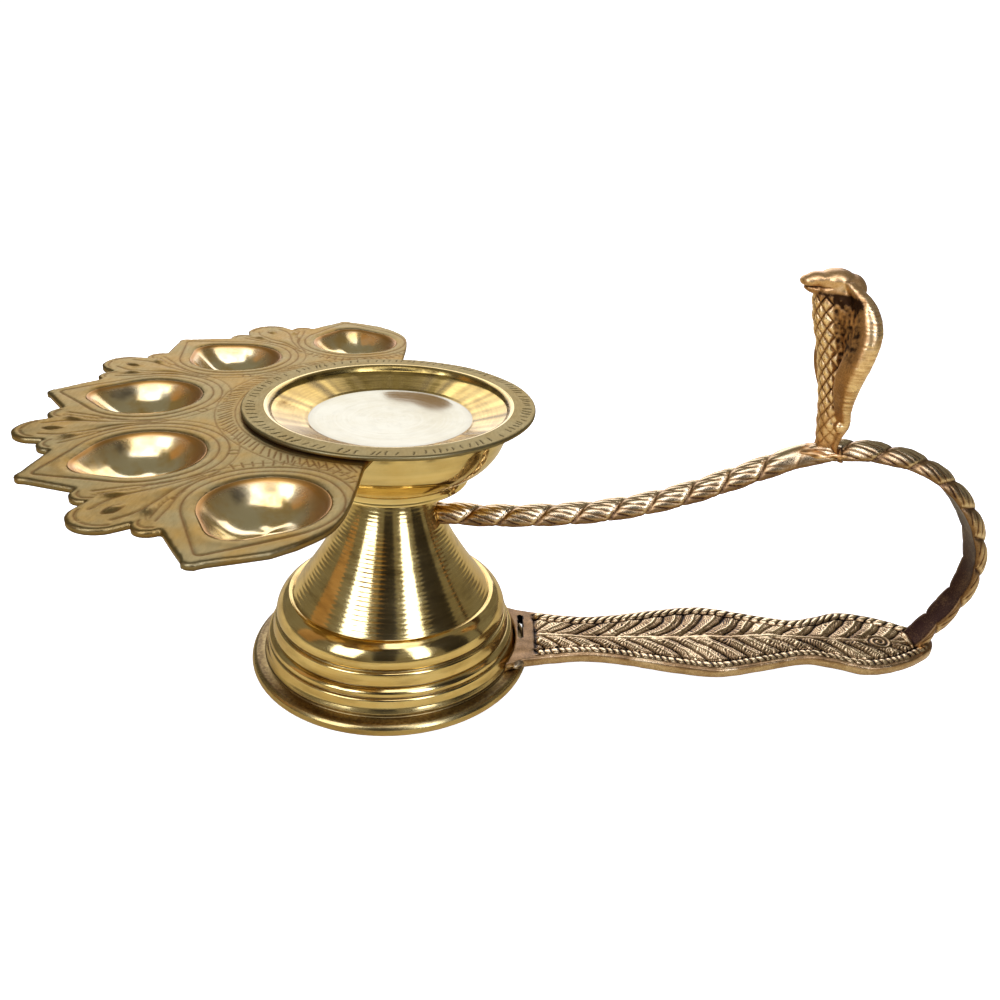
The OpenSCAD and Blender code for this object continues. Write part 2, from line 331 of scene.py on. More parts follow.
def matte_brass(name, light, deep, dirt_and_painted_light, rough):
    """Pressed sheet brass: soft dull sheen with brown lines in the engraving; on the fan plate the
    dirt attribute also holds the painted shadow of the bowl's lip.
    """
    n = Nodes(name)
    broad = n.noise(n.scaled(0.11, 0.11, 0.11), detail=6.0)
    brushed = n.noise(n.scaled(2.2, 0.5, 1.0), detail=4.0)
    grain = n.noise(n.scaled(5.0, 5.0, 5.0), detail=3.0)
    colour = n.ramp(broad, (0.32, deep), (0.62, light))
    dirt_and_painted_light_mask = n.dirt_and_painted_light_amount(grain, 0.25, 0.7)
    colour = n.mix(dirt_and_painted_light_mask, colour, dirt_and_painted_light)
    roughness = n.math("ADD", n.span(brushed, 0.3, 0.7, rough * 0.85, rough * 1.2),
                       n.math("MULTIPLY", dirt_and_painted_light_mask, 0.2))
    n.bsdf.inputs["Specular Tint"].default_value = (0.90, 0.80, 0.62, 1)
    fine = n.bump(grain, 0.012)
    return n.finish(colour, roughness, n.bump(brushed, 0.03, below=fine))


def cup_brass(name, light, deep, dirt_and_painted_light, rough):
    """Spun and buffed cup: nearly a mirror, with amber rim staining, a painted amber reflection on
    one side and hair scratches.
    """
    n = Nodes(name)
    broad = n.noise(n.scaled(0.16, 0.16, 0.16), detail=4.0)
    hair = n.noise(n.scaled(0.5, 3.5, 1.0), detail=5.0)
    specks = n.noise(n.scaled(2.5, 2.5, 2.5), detail=2.0)
    colour = n.ramp(broad, (0.36, deep), (0.56, light))
    dirt_and_painted_light_mask = n.math("MULTIPLY", n.attribute("dirt_and_painted_light"), 1.0, clamp=True)
    colour = n.mix(dirt_and_painted_light_mask, colour, dirt_and_painted_light)
    colour = n.mix(n.span(specks, 0.71, 0.76, 0.0, 0.5), colour, dirt_and_painted_light)
    roughness = n.math("ADD", n.span(hair, 0.3, 0.7, rough * 0.8, rough * 1.3),
                       n.math("MULTIPLY", dirt_and_painted_light_mask, 0.25))
    return n.finish(colour, roughness, n.bump(hair, 0.006))


def cast_brass(name, high, body, low, rough, grain_mm):
    """Cast brass: rubbed pale highlights, brown body and dark hollows, with casting grain; the wear
    attribute also holds painted shade on the rope's inner face and under the cobra's head.
    """
    n = Nodes(name)
    grain = n.noise(n.scaled(2.6, 2.6, 2.6), detail=6.0, rough=0.65)
    broad = n.noise(n.scaled(0.2, 0.2, 0.2), detail=4.0)
    wear_and_painted_shade = n.attribute("wear_and_painted_shade")
    tone = n.math("ADD", wear_and_painted_shade, n.math("MULTIPLY", n.math("SUBTRACT", grain, 0.5), 0.5))
    tone = n.math("ADD", tone, n.math("MULTIPLY", n.math("SUBTRACT", broad, 0.5), 0.35))
    colour = n.ramp(tone, (0.12, low), (0.5, body), (0.86, high))
    roughness = n.span(tone, 0.1, 0.9, rough * 1.5, rough * 0.75)
    return n.finish(colour, roughness, n.bump(grain, grain_mm))


def make_materials():
    return {
        "turned": turned_brass("brass_turned", (0.80, 0.61, 0.25), (0.68, 0.47, 0.15),
                               (0.09, 0.05, 0.02), 0.12, 0.010, 3.2, 0.5),
        "rim": matte_brass("brass_rim", (0.25, 0.205, 0.098), (0.22, 0.160, 0.060),
                           (0.05, 0.03, 0.015), 0.38),
        "bowl": turned_brass("brass_bowl", (0.86, 0.68, 0.30), (0.78, 0.56, 0.19),
                             (0.10, 0.06, 0.02), 0.07, 0.003, 2.0, 0.22),
        # The well's greyed, less yellow brass is a painted reflection: it stands in for the white,
        # overexposed reflection in the well.
        "well": turned_brass("brass_well_painted_reflection", (0.47, 0.445, 0.31), (0.42, 0.38, 0.235),
                             (0.10, 0.06, 0.02), 0.06, 0.002, 2.0, 0.10),
        "wall": turned_brass("brass_wall", (0.80, 0.57, 0.17), (0.52, 0.34, 0.075),
                             (0.09, 0.055, 0.015), 0.10, 0.003, 2.0, 0.35),
        "plate": matte_brass("brass_plate", (0.24, 0.190, 0.086), (0.28, 0.170, 0.044),
                             (0.13, 0.045, 0.010), 0.34),
        "cup": cup_brass("brass_cup", (0.92, 0.79, 0.46), (0.86, 0.60, 0.22),
                         (0.45, 0.23, 0.055), 0.13),
        "grip": cast_brass("brass_grip", (1.0, 0.78, 0.46), (0.34, 0.20, 0.085),
                           (0.014, 0.008, 0.005), 0.25, 0.06),
        "rope": cast_brass("brass_rope", (0.74, 0.57, 0.33), (0.34, 0.195, 0.078),
                           (0.040, 0.014, 0.010), 0.27, 0.04),
        "cobra": cast_brass("brass_cobra", (0.96, 0.70, 0.36), (0.56, 0.30, 0.11),
                            (0.040, 0.018, 0.008), 0.34, 0.04),
        "filler": cast_brass("brass_filler", (0.66, 0.56, 0.40), (0.34, 0.25, 0.14),
                             (0.05, 0.03, 0.018), 0.36, 0.06),
        "steel": matte_brass("steel_plain", (0.50, 0.50, 0.49), (0.38, 0.37, 0.35),
                             (0.08, 0.06, 0.05), 0.34),
    }


# ---- foot and bowl ------------------------------------------------------------------


def lathe(profile, segments, closed):
    """Vertices, faces and dirt of a solid turned from (radius, height, dirt) points.

    closed joins the last point to the first.
    """
    p = np.array(profile, float)
    t = np.linspace(0, 2 * math.pi, segments, endpoint=False)
    verts = np.stack([np.outer(p[:, 0], np.cos(t)), np.outer(p[:, 0], np.sin(t)),
                      np.repeat(p[:, 1:2], segments, 1)], -1).reshape(-1, 3)
    faces = grid_faces(len(p), segments, loop_rows=closed).tolist()
    dirt_and_painted_light = np.repeat(p[:, 2], segments)
    return verts, faces, dirt_and_painted_light


NECK_R, CONE_R, CONE_Z = 9.5, 25.0, 20.0
REED = 0.95  # spacing of the reeds on the cone
FOOT_WALL = 2.0
INSIDE_TOP, INSIDE_FOOT = 43.2, 19.0  # heights between which the cone is hollow
BORE_R = 3.05  # hole for the stud
FOOT_SEGMENTS, BOWL_SEGMENTS = 200, 720


def cone_r(z):
    return NECK_R + (CONE_R - NECK_R) * ((FOOT_H - z) / (FOOT_H - CONE_Z)) ** 1.5


def make_foot(mats):
    lip = 1.7
    steps = np.vstack([
        arc(LIP_R - lip, lip, lip, -90, 105, 14),
        [[32.9, 3.5]],
        fillet([[32.6, 3.55], [32.9, 4.3], [32.2, 5.6], [31.75, 7.5], [31.15, 7.75], [31.1, 8.0],
                [31.7, 8.25], [31.5, 9.3], [30.7, 9.95], [30.0, 10.15], [30.0, 10.4], [30.5, 10.6],
                [29.75, 13.5], [29.05, 13.7], [29.0, 14.1], [29.35, 14.4]], 0.35, 3),
        arc(22.9, 14.2, 6.5, 8, 64, 14),
        [[25.3, 19.75], [25.0, 19.85]]])
    rng = np.random.default_rng(3)
    z = np.arange(CONE_Z, FOOT_H - 0.05, 0.118)
    phase = z / REED + 0.06 * np.interp(z, np.arange(19, 53), rng.normal(size=34))
    depth = 0.030 * smoothstep(46, 34, z) + 0.008
    r = np.array([cone_r(v) for v in z]) - depth * (0.5 - 0.5 * np.cos(2 * math.pi * phase)) ** 0.7
    cone = np.stack([r, z], 1)
    inside = [[NECK_R, FOOT_H], [BORE_R, FOOT_H], [BORE_R, INSIDE_TOP]]
    inside += [[cone_r(v) - FOOT_WALL, v] for v in np.linspace(INSIDE_TOP, INSIDE_FOOT, 14)]
    inside += [[25.6, 16], [27, 13.5], [28.6, 9.5], [29.6, 6], [31, 4], [31, 0.25], [31.4, 0]]
    profile = np.vstack([steps, cone, inside])
    h, rad = profile[:, 1], profile[:, 0]
    outer = np.arange(len(profile)) < len(steps) + len(cone)
    dirt_and_painted_light = np.where(outer, 0.85 * bell(h, 7.85, 0.3) + 0.85 * bell(h, 10.25, 0.25)
                    + 0.9 * bell(h, 13.9, 0.3) + 0.9 * bell(h, 3.9, 0.8), 0.55)
    dirt_and_painted_light += np.where(outer & (h < 3.5), 0.32, 0)
    dirt_and_painted_light += np.where(outer & (h > 49.5), 0.5 * smoothstep(49.5, 51, h), 0)
    verts, faces, dirt_and_painted_light = lathe(np.column_stack([rad, h, dirt_and_painted_light]), FOOT_SEGMENTS, True)
    new_piece("turned_foot", verts, faces, mats["turned"], "foot",
              ["bell_foot"], {"dirt_and_painted_light": dirt_and_painted_light})


TICK_IN, TICK_OUT = 30.7, 33.1  # band of chisel ticks on the rim
RIM_LEVEL, WELL_EDGE = 70.0, 66.1  # heights of the flat rim and of the well's edge
WELL_R, WELL_SAG = 19.1, 0.55
# The well's greyed brass is a painted reflection and not a finish of its own.
RIM_INNER_R, WALL_OUT_R, WALL_IN_R = 28.7, 28.15, 19.3  # limits of the bowl's four finishes


def make_bowl(mats):
    under = fillet([[3.0, 51.2], [18.9, 51.2], [18.6, 52.2], [18.8, 53.4], [19.2, 53.7]], 0.3, 3)
    bead = arc(19.0, 54.3, 0.62, -70, 70, 8)
    side = spline([[19.5, 55.0], [21, 54.9], [23.9, 57], [26, 59.6], [27.3, 62.4], [28, 65],
                   [28.2, 66.8], [28.2, 68.7]], 3)
    lip = fillet([[28.2, 68.8], [33.4, 68.8], [34.0, 69.1], [34.0, 69.75], [33.55, 70.0],
                  [33.2, 70.0]], 0.3, 4)
    rim = [[v, RIM_LEVEL] for v in np.linspace(TICK_OUT, 28.9, 15)]
    wall = np.vstack([spline([[28.5, 69.93], [27.9, 69.6], [27.55, 69.1], [27.3, 68.62],
                              [26.6, 68.3], [24.6, 67.72], [22.0, 66.97], [19.5, 66.25]], 3),
                      [[19.25, WELL_EDGE]]])
    well = [[v, WELL_EDGE - WELL_SAG * (1 - (v / WELL_R) ** 2)] for v in np.linspace(19.05, 0, 14)]
    profile = np.vstack([under, bead, side, lip, rim, wall, well])
    cut = np.vstack([[[0, 51.4], [2.9, 51.4]], profile])
    rad, h = cut[:, 0], cut[:, 1]
    dirt_and_painted_light = 0.5 * bell(h, 53.5, 0.25) + 0.7 * bell(rad, 28.0, 0.7) * bell(h, 69.3, 0.7)
    dirt_and_painted_light += 0.35 * bell(rad, 19.3, 0.25) * (h > 60)
    dirt_and_painted_light += np.where((h > 63) & (h < 69) & (rad > 27.5), 0.15, 0)
    segments = BOWL_SEGMENTS
    verts, faces, dirt_and_painted_light = lathe(np.column_stack([rad, h, dirt_and_painted_light]), segments, False)
    verts = verts.reshape(len(cut), segments, 3)
    dirt_and_painted_light = dirt_and_painted_light.reshape(len(cut), segments)
    rng = np.random.default_rng(8)
    wall_at = (h > 66.0) & (h < 69.6) & (rad > 19.4) & (rad < 28.4)
    angles = np.linspace(0, 2 * math.pi, segments, endpoint=False)
    streak = np.array([noise.noise(Vector((math.cos(a) * 9, math.sin(a) * 9, 0))) for a in angles])
    dirt_and_painted_light[wall_at] += 0.22 + 0.75 * streak[None, :]
    dirt_and_painted_light = np.clip(dirt_and_painted_light, 0, 1)
    on_rim = np.where((np.abs(h - RIM_LEVEL) < 0.01) & (rad > TICK_IN - 0.1)
                      & (rad < TICK_OUT + 0.15))[0]
    column = 0.0
    while column < segments - 3:
        column += rng.uniform(4.2, 9.0) if rng.random() > 0.12 else rng.uniform(10, 17)
        slant = rng.normal(-1.0, 0.5)
        first, last = TICK_IN + rng.uniform(0, 0.7), TICK_OUT - rng.uniform(0, 0.5)
        deep = rng.uniform(0.10, 0.18)
        for i in on_rim:
            if first <= rad[i] <= last:
                j = int(round(column + slant * (rad[i] - first))) % segments
                verts[i, j, 2] -= deep
                dirt_and_painted_light[i, j] = max(dirt_and_painted_light[i, j], 0.95)
    waves = np.array([math.sin(7 * a) + math.sin(13 * a + 1) for a in angles])
    verts[:, :, 2] += 0.03 * waves[None, :] * (rad > 30)[:, None]
    piece = new_piece("turned_bowl", verts.reshape(-1, 3), faces, mats["bowl"], "head",
                      ["bowl"], {"dirt_and_painted_light": dirt_and_painted_light.reshape(-1)}, weld=0.001)
    for key in ("rim", "wall", "well"):
        piece.data.materials.append(mats[key])
    for poly in piece.data.polygons:
        c = poly.center / MM
        out = math.hypot(c.x, c.y)
        if c.z > RIM_LEVEL - 1.0 and out > RIM_INNER_R:
            poly.material_index = 1
        elif c.z > WELL_EDGE and WALL_IN_R < out < WALL_OUT_R:
            poly.material_index = 2
        elif c.z > WELL_EDGE - 0.8 and out < WALL_IN_R:
            poly.material_index = 3


# ---- fan of cups --------------------------------------------------------------------

PITCH = 36.5  # degrees between petals
CUP_U, CUP_R, SPOUT_R, SPOUT_U = 56.4, 11.8, 6.0, 8.2
TIP_R, HOLE_R = 80.0, 28.2
PETALS, LEAVES = range(-2, 3), range(-2, 2)


def petal_angle(k):
    """Direction of petal k in degrees; half numbers are the leaves between."""
    return 180 + k * PITCH


def teardrop(n=72, big=CUP_R, small=SPOUT_R, reach=SPOUT_U):
    """Closed outline of a cup: its round part and its spout."""
    a = math.degrees(math.acos(max(-1, min(1, (big - small) / reach))))
    loop = np.vstack([arc(0, 0, big, a, 360 - a, int(n * 0.68)),
                      arc(reach, 0, small, -a, a, int(n * 0.32))])
    return np.vstack([loop, loop[:1]])


def fan_outline():
    """Closed outline of the plate: petals, leaves, plain sides and the arc under the rim."""
    petal_half = [[72, -10.2], [75.6, -5.8], [TIP_R - 1.4, -2.0], [TIP_R - 0.35, -1.2]]
    petal = np.vstack([petal_half, [[TIP_R, 0]], mirrored(petal_half)])
    half = arc(71, -9.2, 3.3, -75, 50, 12)
    leaf = np.vstack([half, arc(73.8, 0, 6.2, -62, 62, 24), mirrored(half)])
    side = spline([[34, -9], [48, -13.2], [56, -15], [62, -15], [68, -12.8]], 6)
    loop = [turned(side, petal_angle(-2))]
    for k in PETALS:
        loop.append(turned(petal, petal_angle(k)))
        if k in LEAVES:
            loop.append(turned(leaf, petal_angle(k + 0.5)))
    loop.append(turned(mirrored(side), petal_angle(2)))
    outer = np.vstack(loop)
    a0 = math.degrees(math.atan2(outer[-1][1], outer[-1][0])) % 360
    a1 = math.degrees(math.atan2(outer[0][1], outer[0][0])) % 360
    return np.vstack([outer, arc(0, 0, HOLE_R, a0 + 2.5, a1 - 2.5, 90), outer[:1]])


def engraving():
    """Polylines cut in the plate: (points, depth in mm, half width in mm, dirt)."""
    cuts = []

    def cut(points, here, depth, width, dirt_and_painted_light):
        cuts.append((turned(points, here), depth, width, dirt_and_painted_light))

    for k in PETALS:
        here = petal_angle(k)
        cut(teardrop(80, 14.3, 1.2, 19.3) + [CUP_U, 0], here, 0.20, 0.26, 0.75)
        cut(arc(CUP_U, 0, 16.3, 72, 288, 60), here, 0.20, 0.26, 0.7)
        cut(arc(CUP_U, 0, 18.3, 112, 248, 40), here, 0.13, 0.2, 0.45)
        if abs(k) == 2:
            for a in np.arange(100, 236, 6.2):
                q = math.radians(a * (1 if k > 0 else -1) + (0 if k > 0 else 360))
                d = np.array([math.cos(q), math.sin(q)])
                cut([d * 17.4 + [CUP_U, 0], d * 19.3 + [CUP_U, 0]], here, 0.16, 0.2, 0.8)
    for k in LEAVES:
        here = petal_angle(k + 0.5)
        for flip in (np.array([1, 1]), np.array([1, -1])):
            cut(spline([[50, 0.6], [56, 1.5], [61, 3.6], [65.5, 6.6], [70, 9.2]], 6) * flip, here,
                0.20, 0.28, 0.6)
            cut(spline([[53, 0.3], [60, 1.2], [66, 3.1], [70.5, 4.0], [74.5, 3.2]], 6) * flip, here,
                0.22, 0.28, 0.6)
            cut(arc(73.2, 0, 5.2, 6, 60, 10) * flip, here, 0.2, 0.26, 0.7)
            cut(arc(70.6, 9.0, 2.3, -60, 60, 8) * flip, here, 0.2, 0.26, 0.7)
            cut(spline([[60, 3.4], [64.5, 4.4], [68, 6.4], [70, 7.6]], 4) * flip, here, 0.16, 0.22,
                0.5)
            for u in np.arange(63.5, 71, 1.25):
                cut([[u, 3.1 + (u - 63) * 0.45], [u + 1.1, 4.3 + (u - 63) * 0.5]] * flip, here,
                    0.09, 0.18, 0.35)
        cut(spline([[70.4, 0.7], [72.6, 1.2], [74.2, 0], [72.6, -1.2], [70.4, -0.7]], 5), here,
            0.18, 0.24, 0.6)
        cut(arc(42.0, -4.8, 1.0, 0, 360, 12), here, 0.16, 0.2, 0.6)
    ends = [petal_angle(-2) - 15, petal_angle(2) + 15]
    cuts.append((arc(0, 0, 35.2, ends[0], ends[1], 160), 0.16, 0.22, 0.6))
    cuts.append((arc(0, 0, 39.6, ends[0] + 4, ends[1] - 4, 160), 0.14, 0.22, 0.5))
    rng = np.random.default_rng(5)
    a = ends[0] + 1
    while a < ends[1] - 1:
        a += rng.uniform(2.1, 3.1)
        lean = rng.normal(3.2, 0.5)
        q = [math.radians(a), math.radians(a + lean)]
        r0, r1 = 36.0 + rng.uniform(0, 0.3), 38.7 + rng.uniform(-0.3, 0.3)
        cuts.append((np.array([[r0 * math.cos(q[0]), r0 * math.sin(q[0])],
                               [r1 * math.cos(q[1]), r1 * math.sin(q[1])]]), 0.17, 0.2, 0.85))
    return cuts


def inside_of(points, loop):
    """True for each point inside the closed polygon."""
    x, y = points[:, 0], points[:, 1]
    hit = np.zeros(len(points), bool)
    for (x0, y0), (x1, y1) in zip(loop, np.roll(loop, -1, 0)):
        if y0 != y1:
            hit ^= ((y0 > y) != (y1 > y)) & (x < (x1 - x0) * (y - y0) / (y1 - y0) + x0)
    return hit


def nearest(points, samples):
    """Distance to the nearest sample and its index, for each point."""
    tree = KDTree(len(samples))
    for i, s in enumerate(samples):
        tree.insert((s[0], s[1], 0), i)
    tree.balance()
    found = [tree.find((p[0], p[1], 0)) for p in points]
    return np.array([f[2] for f in found]), np.array([f[1] for f in found])


def within(points, loops):
    """True for each point inside loops[0] and outside the others."""
    keep = inside_of(points, loops[0])
    for hole in loops[1:]:
        keep &= ~inside_of(points, hole)
    return keep


def triangles(loops, spare):
    """Vertices and triangles of the region inside loops[0] and outside the others."""
    coords = [Vector(p) for p in np.vstack([*loops, spare])]
    edges, start = [], 0
    for loop in loops:
        n = len(loop)
        edges += [(start + i, start + (i + 1) % n) for i in range(n)]
        start += n
    made = delaunay_2d_cdt(coords, edges, [], 0, 1e-5)
    flat = np.array([v[:] for v in made[0]])
    tris = np.array([f for f in made[2] if len(f) == 3])
    tris = tris[within(flat[tris].mean(1), loops)]
    used = np.unique(tris)
    renumber = -np.ones(len(flat), int)
    renumber[used] = np.arange(len(used))
    return flat[used], renumber[tris]


SHEET_STEP = 0.42  # grid of the plate's top
BOSSES = ((71.9, 0, 1.6, 0.9, 0, 0.45), (68.4, 5.2, 1.6, 0.8, 28, 0.4),
          (68.4, -5.2, 1.6, 0.8, -28, 0.4), (62, 0, 4.5, 1.4, 0, 0.25))  # raised drops on a leaf


def make_plate(mats):
    outline = resample(fan_outline(), 0.5)[0][:-1]
    hole = resample(teardrop(), 0.55)[0][:-1] + [CUP_U, 0]
    holes = [turned(hole, petal_angle(k)) for k in PETALS]
    loops = [outline, *holes]
    edge = np.vstack(loops)
    samples, facts, lines = [], [], []
    for points, depth, width, dirt_and_painted_light in engraving():
        fine, _ = resample(points, 0.12)
        samples.append(fine)
        facts += [(depth, width, dirt_and_painted_light)] * len(fine)
        coarse, _ = resample(points, 0.42)
        way = np.gradient(coarse, axis=0)
        way /= np.linalg.norm(way, axis=1)[:, None] + 1e-9
        across = np.stack([-way[:, 1], way[:, 0]], 1) * 0.34
        lines += [coarse, coarse + across, coarse - across]
    samples, facts = np.vstack(samples), np.array(facts)
    gx, gy = np.meshgrid(np.arange(-82, 4, SHEET_STEP), np.arange(-82, 82, SHEET_STEP))
    gx[1::2] += SHEET_STEP / 2
    grid = np.stack([gx.ravel(), gy.ravel()], 1)
    radius = np.hypot(grid[:, 0], grid[:, 1])
    grid = grid[(radius > HOLE_R + 0.2) & (radius < TIP_R + 0.5)]
    grid = grid[within(grid, loops)]
    grid = grid[nearest(grid, samples)[0] > 0.5]
    line_points = np.vstack(lines)
    line_points = line_points[within(line_points, loops)]
    rounded = np.round(line_points / 0.17).astype(int)
    line_points = line_points[np.unique(rounded, axis=0, return_index=True)[1]]
    spare = np.vstack([grid, line_points])
    spare = spare[nearest(spare, edge)[0] > 0.28]
    flat, tris = triangles(loops, spare)
    gap, which = nearest(flat, samples)
    depth, width, dirt_and_painted_light = facts[which].T
    groove = np.exp(-(gap / width) ** 2)
    height = -0.55 * depth * groove
    hole_gap, _ = nearest(flat, np.vstack(holes))
    rim_gap, _ = nearest(flat, outline)
    height += 0.06 * np.exp(-((hole_gap - 1.6) / 0.9) ** 2) - 0.30 * np.exp(-(hole_gap / 0.6) ** 2)
    far = np.hypot(flat[:, 0], flat[:, 1]) > 33
    height += np.where(far, 0.05 * np.exp(-((rim_gap - 1.1) / 0.7) ** 2)
                       - 0.22 * np.exp(-(rim_gap / 0.25) ** 2), 0)
    for k in LEAVES:
        for u, v, long, wide, lean, high in BOSSES:
            local = turned(turned(flat, -petal_angle(k + 0.5)) - [u, v], -lean)
            height += high * np.exp(-(local[:, 0] / long) ** 2 - (local[:, 1] / wide) ** 2)
    waves = wobble(np.column_stack([flat, flat[:, 0] * 0]), 0.09, 2)
    height += 0.22 * waves
    top = np.column_stack([flat, PLATE_Z + height])
    bottom = np.column_stack([flat, np.full(len(flat), PLATE_Z - PLATE_T) + 0.1 * waves])
    count = len(flat)
    sides = {}
    for tri in tris:
        for a, b in ((tri[0], tri[1]), (tri[1], tri[2]), (tri[2], tri[0])):
            if (b, a) in sides:
                del sides[(b, a)]
            else:
                sides[(a, b)] = True
    mid = {}
    extra = []
    for a, b in sides:
        for v in (a, b):
            if v not in mid:
                mid[v] = 2 * count + len(extra)
                extra.append([flat[v][0], flat[v][1], PLATE_Z - 0.6 + 0.15 * waves[v]])
    faces = [list(map(int, t)) for t in tris]
    faces += [[int(t[2]) + count, int(t[1]) + count, int(t[0]) + count] for t in tris]
    for a, b in sides:
        faces.append([int(b), int(a), mid[a], mid[b]])
        faces.append([mid[b], mid[a], int(a) + count, int(b) + count])
    dark = np.clip(dirt_and_painted_light * groove, 0, 1)
    radius_for_lip_shadow = np.hypot(flat[:, 0], flat[:, 1])
    # Painted shadow of the bowl's lip: the plate darkens from 34.8 mm to 33.6 mm from the axis, under
    # and just outside the lip.
    dark = np.clip(dark + 0.8 * smoothstep(34.8, 33.6, radius_for_lip_shadow), 0, 1)
    dark = np.clip(dark + 0.15 * np.exp(-(rim_gap / 0.4) ** 2) * far, 0, 1)
    plate_dirt_and_painted_shadow = np.concatenate([dark, np.full(count, 0.25), np.full(len(extra), 0.15)])
    new_piece("engraved_fan", np.vstack([top, bottom, np.array(extra)]), faces, mats["plate"],
              "head", ["fan_plate"], {"dirt_and_painted_light": plate_dirt_and_painted_shadow})


def make_cups(mats):
    """Five pressed cups, each one sheet with a soft shoulder at its rim."""
    dish = spline([[1.0, -0.2], [0.98, -0.32], [0.94, -0.72], [0.88, -1.55], [0.79, -2.8],
                   [0.67, -4.15], [0.52, -5.25], [0.34, -5.95], [0.15, -6.2], [0.0, -6.24]], 4)
    under = [[t, z - 0.8] for t, z in dish]
    sheet = np.vstack([dish[::-1], [[1.0, -0.75]], under[1:]])
    cols = 128
    rim = resample(teardrop(160), 0.5)[0]
    length = np.linalg.norm(np.diff(rim, axis=0), axis=1).sum()
    ring = resample(rim, length / cols)[0][:cols]
    inner = len(dish)
    for k in PETALS:
        verts, dirt_and_painted_light = [], []
        for i, (t, z) in enumerate(sheet):
            centre = np.array([1.2, 0]) * (1 - t)
            flat = ring * t + centre
            reach = np.clip((flat[:, 0] - 8) / 8, 0, 1)
            level = z * (1 - 0.25 * reach * (t < 0.999))
            here = turned(flat + [CUP_U, 0], petal_angle(k))
            dent = 0.12 * np.sin(3 * np.arctan2(flat[:, 1], flat[:, 0]) + k) * t * (1 - t) * 4
            verts.append(np.column_stack([here, PLATE_Z + level + dent]))
            stain = 0.7 * bell(t, 0.97, 0.045) + 0.4 * float(smoothstep(0.55, 0.95, t)) \
                if i < inner else 0.4
            # Painted amber reflection: each cup is tinted amber about 8.5 mm from its centre towards
            # +x, on the same side for all five cups.
            painted_amber_reflection = 0.55 * bell(turned(flat, petal_angle(k))[:, 0], 8.5, 3.2) * (i < inner)
            dirt_and_painted_light.append(np.clip(stain + painted_amber_reflection, 0, 1))
        verts = np.vstack(verts)
        faces = grid_faces(len(sheet), cols).tolist()
        new_piece(f"pressed_cup_{k + 3}", verts, faces, mats["cup"], "head",
                  [f"oil_cup_{k + 3}"], {"dirt_and_painted_light": np.concatenate(dirt_and_painted_light)}, weld=0.002)


# ---- grip bar -----------------------------------------------------------------------

GRIP_Z, GRIP_T, GRIP_SLOPE = 6.2, 2.7, math.radians(1.8)
GRIP_HALF = spline([[29, 15.4], [33, 13.2], [38, 10.8], [50, 8.9], [60, 9.9], [72, 12.8],
                    [84, 14.6], [96, 11.8], [108, 8.7], [115, 10.2], [123, 12.8], [132, 10.6],
                    [139, 6.6], [142.6, 3.4], [143.8, 0.6]], 8)
ROOT_R = 32.7  # the bar's root follows the foot's wall


def grip_top(x):
    return GRIP_Z + (x - 33) * math.tan(GRIP_SLOPE)


